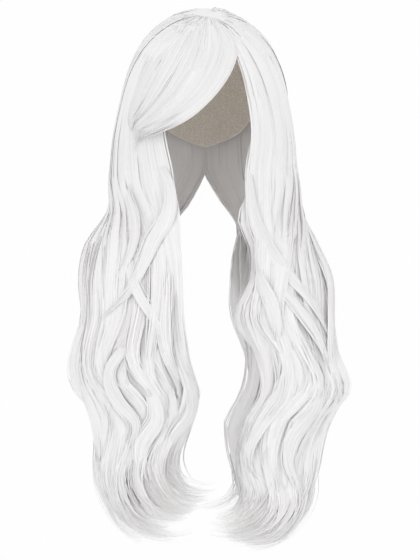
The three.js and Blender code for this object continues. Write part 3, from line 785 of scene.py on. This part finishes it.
def cap_net():
    """Stretch cap net, knitted from fine cream nylon: matt, with a small open grid whose openings are painted
    darker, as painted shade.
    """
    material = bpy.data.materials.new("nylon_cap_net")
    material.use_nodes = True
    tree = material.node_tree
    shader = tree.nodes["Principled BSDF"]
    where = add_node(tree, "ShaderNodeTexCoord")
    turn = add_node(tree, "ShaderNodeMapping",
                    {"Vector": where.outputs["Object"], "Rotation": (0.6, 0.6, 0.8)})
    net = add_node(tree, "ShaderNodeTexVoronoi", {"Vector": turn.outputs[0], "Scale": 1 / (NET_PITCH * MM)},
                   feature="DISTANCE_TO_EDGE")
    thread = add_node(tree, "ShaderNodeMapRange",
                      {"Value": net.outputs["Distance"], "From Min": 0.05, "From Max": 0.25})
    # Painted shade: the net's openings are painted darker than its cream threads
    colour = add_node(tree, "ShaderNodeMix", {"Factor": thread.outputs[0]}, data_type="RGBA")
    colour.inputs[6].default_value = linear("#f3eee6")
    colour.inputs[7].default_value = linear("#d8cfc2")
    bump = add_node(tree, "ShaderNodeBump",
                    {"Height": thread.outputs[0], "Strength": 0.5, "Distance": NET_DEPTH * MM}, invert=True)
    tree.links.new(colour.outputs[2], shader.inputs["Base Color"])
    tree.links.new(bump.outputs[0], shader.inputs["Normal"])
    shader.inputs["Roughness"].default_value = 0.85
    return material


def lay_floor():
    material = bpy.data.materials.new("matt_paper")
    material.use_nodes = True
    shader = material.node_tree.nodes["Principled BSDF"]
    shader.inputs["Base Color"].default_value = linear("#f4f4f4")
    shader.inputs["Roughness"].default_value = 0.9
    bpy.ops.mesh.primitive_circle_add(vertices=96, radius=FLOOR_RADIUS, fill_type="NGON",
                                      location=(0, 0, FLOOR_LEVEL))
    floor = bpy.context.object
    floor.name = "floor"
    floor.data.materials.append(material)


def crown_base(material):
    """A thin shell of short fibres over the crown, combed outward from the whorl."""
    mesh = bmesh.new()
    bmesh.ops.create_uvsphere(mesh, u_segments=96, v_segments=48, radius=1)
    axes = (DOME_AXES - CROWN_BASE_DEPTH) * MM
    bmesh.ops.scale(mesh, vec=axes, verts=mesh.verts)
    bmesh.ops.translate(mesh, vec=(DOME_CENTRE + CROWN_BASE_RAISE * WHORL) * MM, verts=mesh.verts)
    every = mesh.verts[:] + mesh.edges[:] + mesh.faces[:]
    bmesh.ops.bisect_plane(mesh, geom=every, plane_co=(0, 0, -CROWN_BASE_DROP * MM), plane_no=(0, 0, -1),
                           clear_outer=True)
    bmesh.ops.solidify(mesh, geom=mesh.faces[:], thickness=CROWN_BASE_WALL * MM)
    bmesh.ops.recalc_face_normals(mesh, faces=mesh.faces[:])
    data = bpy.data.meshes.new("crown_base")
    mesh.to_mesh(data)
    mesh.free()
    places = np.empty(len(data.vertices) * 3)
    data.vertices.foreach_get("co", places)
    toward = unit((places.reshape(-1, 3) / MM - DOME_CENTRE) / DOME_AXES)
    away = np.arccos(np.clip(toward @ WHORL, -1, 1))
    heading = np.arctan2(toward[:, 0] - WHORL[0], WHORL[1] - toward[:, 1])
    lie = np.stack([heading * HALF_WIDTH, away * HALF_WIDTH, np.zeros(len(away))], axis=-1)
    data.attributes.new("lie", "FLOAT_VECTOR", "POINT").data.foreach_set("vector", lie.ravel())
    data.attributes.new("tone", "FLOAT", "POINT").data.foreach_set("value", np.full(len(away), 0.4))
    data.polygons.foreach_set("use_smooth", np.ones(len(data.polygons), dtype=bool))
    data.materials.append(material)
    base = bpy.data.objects.new("crown_base", data)
    bpy.context.scene.collection.objects.link(base)
    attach(base, "root")
    return base


def comb_layer(layer, comb, steps, total, tip_steps, tone=0):
    """The upper and the lower parts of one layer's locks and strands."""
    locks = plant_locks(layer)
    # A layer's locks can be painted darker as a whole: painted shade, used on the fringe
    locks["tone"] += tone
    strands = part_strands(locks, layer)
    bodies = lock_batch(locks, comb(locks), tip_steps)
    fibres = strand_batch(strands, comb(strands), tip_steps, STRAND_WIDTH)
    upper_bodies, lower_bodies = split(bodies, layer[2], steps, total)
    upper_fibres, lower_fibres = split(fibres, len(strands["edge"]), steps, total)
    return [upper_bodies, upper_fibres], [lower_bodies, lower_fibres]


def crossing_batches(name):
    """The locks that cross over one side fall, each with its strands."""
    batches = []
    for fall_name, width, dives, track in CROSSING_LOCKS:
        if fall_name != name:
            continue
        layer = (CROSSING_DEPTH, 0, 1, CROSSING_STRANDS, width, CROSSING_RISE, 0, 0, 80)
        lock = plant_locks(layer)
        strands = part_strands(lock, layer)
        strands["across"] *= rng.uniform(0.7, 1.35, CROSSING_STRANDS)
        strands["drift"] = rng.normal(0, 2.2, CROSSING_STRANDS)
        # Painted shade: the crossing locks' strands are painted darker, against the extra light they catch
        # standing out over the fall
        strands["tone"] -= 0.2
        body = lock_batch(lock, comb_crossing(FALLS[name], track, dives, lock), 16)
        fibres = strand_batch(strands, comb_crossing(FALLS[name], track, dives, strands), 12, STRAND_WIDTH)
        batches.append(body(np.full(1, 3), np.full(1, CROSSING_STEPS - 3)))
        batches.append(fibres(rng.integers(0, 6, CROSSING_STRANDS), rng.integers(18, 27, CROSSING_STRANDS)))
    return batches


# Assembly

fibre = modacrylic_fibre()
light_studio()
hang_soft_boxes()
lay_floor()

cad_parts["wig_cap"].data.materials.clear()
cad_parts["wig_cap"].data.materials.append(cap_net())

crown_batches = []
for fall_name, fall in FALLS.items():
    fall_batches = []
    for layer in fall["layers"]:
        upper, lower = comb_layer(layer, lambda hair: comb_whole(fall, hair), DOME_STEPS,
                                  DOME_STEPS + HANG_STEPS + CURL_STEPS, 14)
        crown_batches += upper
        fall_batches += lower
    piece = joined_piece(fall_name + "_locks", fall_batches, fibre)
    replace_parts(piece, fall_name)

fringe_batches = []
for layer in FRINGE_LAYERS:
    upper, lower = comb_layer(layer, comb_fringe, FRINGE_CROWN_STEPS, FRINGE_CROWN_STEPS + FRINGE_STEPS, 9,
                              FRINGE_PAINTED_SHADE)
    crown_batches += upper
    fringe_batches += lower
fringe = joined_piece("fringe_locks", fringe_batches, fibre)
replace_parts(fringe, "fringe")

for fall_name in ("side_fall_left", "side_fall_right"):
    crossing = joined_piece(fall_name + "_crossing_locks", crossing_batches(fall_name), fibre)
    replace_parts(crossing, fall_name)

crown = joined_piece("crown_locks", crown_batches, fibre)
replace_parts(crown, "crown_hair")
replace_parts(crown_base(fibre), "crown_hair")
